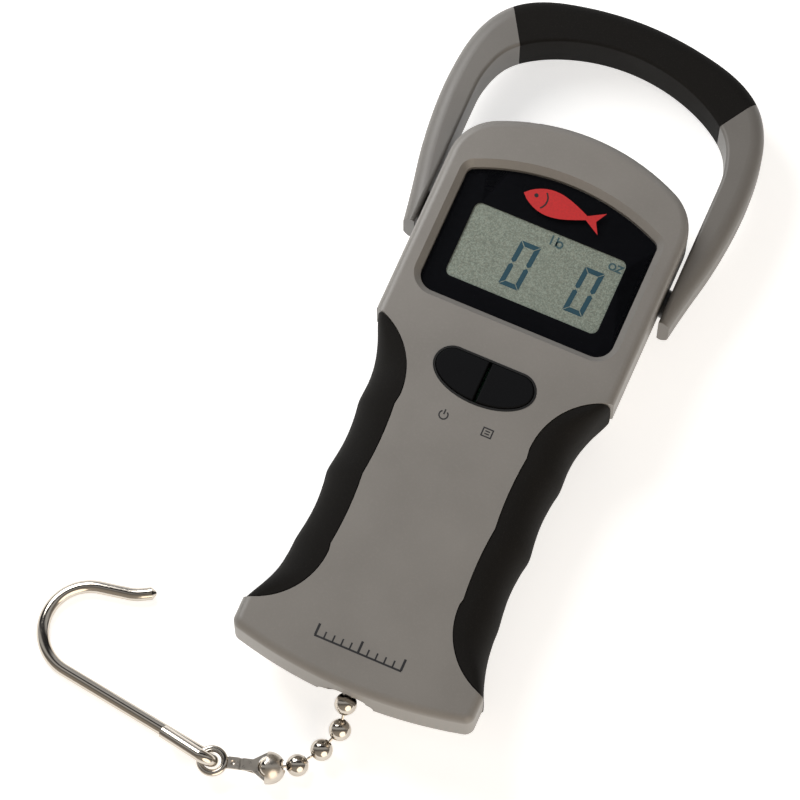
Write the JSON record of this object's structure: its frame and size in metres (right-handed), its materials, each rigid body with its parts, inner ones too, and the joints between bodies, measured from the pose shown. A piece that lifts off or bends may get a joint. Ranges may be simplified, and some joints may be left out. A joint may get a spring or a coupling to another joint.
{
  "type": "digital fish scale",
  "caption": "Hand-held digital hanging scale with a waisted rubber-gripped casing, swinging bail handle, arched display, keys, ball chain and wire hook.",
  "frame": {"origin": "on the flat back face, on the centre line, near the middle of the grip", "axes": "+Y along the casing towards the bail, +Z out of the display, +X to the display's right"},
  "size_m": [0.1359, 0.2484, 0.0287],
  "materials": {
    "casing": "satin warm grey",
    "soft_grip": "matt black",
    "lens": "clear, polished",
    "mask_black": "black behind the lens",
    "lcd": "grey-green display with dark segments",
    "white_plastic": "white",
    "board_green": "printed circuit board",
    "chip_black": "moulded",
    "switch_metal": "small stampings",
    "cell_jacket": "plain battery jacket",
    "contact_metal": "plated spring steel",
    "sensor_aluminium": "milled",
    "steel": "plain",
    "nickel": "polished nickel plating",
    "wire_jacket": "lead insulation",
    "key_rubber": "matt black",
    "washer_black": "plain"
  },
  "bodies": {
    "scale_body": {"front_cover": "casing", "back_cover": "casing", "casing_seal": "soft_grip", "casing_screws": "steel", "right_grip": "soft_grip", "left_grip": "soft_grip", "display_lens": "lens", "lens_mask": "mask_black", "lcd_panel": "lcd", "lcd_frame": "white_plastic", "backlight_panel": "white_plastic", "zebra_strip": "soft_grip", "main_board": "board_green", "board_screws": "steel", "board_chips": "chip_black", "key_switches": "switch_metal", "piezo_buzzer": "chip_black", "battery_left": "cell_jacket", "battery_right": "cell_jacket", "contact_springs": "contact_metal", "contact_plates": "contact_metal", "door_seal": "soft_grip", "load_cell": "sensor_aluminium", "strain_gauges": "chip_black", "cell_bracket": "steel", "cell_bolt": "steel", "chain_anchor": "steel", "sensor_lead": "wire_jacket", "battery_leads": "wire_jacket", "key_surround": "washer_black", "pivot_pin_right": "steel", "pivot_pin_left": "steel", "pivot_washer_right": "washer_black", "pivot_washer_left": "washer_black", "anchor_bead": "nickel"},
    "bail": {"bail_frame": "casing", "bail_grip": "soft_grip"},
    "left_key_body": {"left_key": "key_rubber"},
    "right_key_body": {"right_key": "key_rubber"},
    "battery_door_body": {"battery_door": "casing"},
    "link_1": {"chain_link_1": "nickel"},
    "bead_1": {"chain_bead_1": "nickel"},
    "link_2": {"chain_link_2": "nickel"},
    "bead_2": {"chain_bead_2": "nickel"},
    "link_3": {"chain_link_3": "nickel"},
    "bead_3": {"chain_bead_3": "nickel"},
    "link_4": {"chain_link_4": "nickel"},
    "bead_4": {"chain_bead_4": "nickel"},
    "link_5": {"chain_link_5": "nickel"},
    "clasp": {"clasp_bead": "nickel", "chain_clasp": "nickel", "clasp_eyelet": "nickel"},
    "hook_body": {"hook": "nickel"}
  },
  "joints": [
    {"name": "bail_swing", "type": "hinge", "parent": "scale_body", "child": "bail", "pos_m": [0, 0.06, 0.014], "axis": [1, 0, 0], "range_deg": [-155, 155]},
    {"name": "left_key_press", "type": "slide", "parent": "scale_body", "child": "left_key_body", "axis": [0, 0, -1], "range_m": [0, 0.0008], "stiffness_N_per_m": 800},
    {"name": "right_key_press", "type": "slide", "parent": "scale_body", "child": "right_key_body", "axis": [0, 0, -1], "range_m": [0, 0.0008], "stiffness_N_per_m": 800},
    {"name": "battery_door_slide", "type": "slide", "parent": "scale_body", "child": "battery_door_body", "axis": [0, 1, 0], "range_m": [0, 0.062]},
    {"name": "link_1_yaw", "type": "hinge", "parent": "scale_body", "child": "link_1", "pos_m": [0.00013, -0.07599, 0.014], "axis": [0, 0, 1], "range_deg": [-20, 20]},
    {"name": "bead_1_swing", "type": "hinge", "parent": "link_1", "child": "bead_1", "pos_m": [0.00057, -0.08098, 0.014], "axis": [0.9962, 0.0872, 0], "range_deg": [-20, 20]},
    {"name": "link_2_yaw", "type": "hinge", "parent": "bead_1", "child": "link_2", "pos_m": [0.00088, -0.08364, 0.01308], "axis": [-0.0963, 0.6081, -0.788], "range_deg": [-20, 20]},
    {"name": "bead_2_swing", "type": "hinge", "parent": "link_2", "child": "bead_2", "pos_m": [0.0015, -0.08753, 0.01], "axis": [-0.9877, -0.1564, 0], "range_deg": [-20, 20]},
    {"name": "link_3_yaw", "type": "hinge", "parent": "bead_2", "child": "link_3", "pos_m": [0.00115, -0.08988, 0.00833], "axis": [-0.2034, -0.4568, 0.866], "range_deg": [-20, 20]},
    {"name": "bead_3_swing", "type": "hinge", "parent": "link_3", "child": "bead_3", "pos_m": [-0.00061, -0.09384, 0.00583], "axis": [0.9135, -0.4067, 0], "range_deg": [-20, 20]},
    {"name": "link_4_yaw", "type": "hinge", "parent": "bead_3", "child": "link_4", "pos_m": [-0.00199, -0.09621, 0.00473], "axis": [0.1352, 0.1861, -0.9732], "range_deg": [-20, 20]},
    {"name": "bead_4_swing", "type": "hinge", "parent": "link_4", "child": "bead_4", "pos_m": [-0.00485, -0.10014, 0.00358], "axis": [-0.809, 0.5878, 0], "range_deg": [-20, 20]},
    {"name": "link_5_yaw", "type": "hinge", "parent": "bead_4", "child": "link_5", "pos_m": [-0.00696, -0.1021, 0.00353], "axis": [0.1647, 0.1029, 0.981], "range_deg": [-20, 20]},
    {"name": "clasp_swing", "type": "hinge", "parent": "link_5", "child": "clasp", "pos_m": [-0.01112, -0.1047, 0.0045], "axis": [0.5299, -0.848, 0], "range_deg": [-20, 20]},
    {"name": "hook_swing", "type": "hinge", "parent": "clasp", "child": "hook_body", "pos_m": [-0.03087, -0.10955, 0.00515], "axis": [0.1309, 0.9434, 0.3048], "range_deg": [-60, 60]}
  ]
}
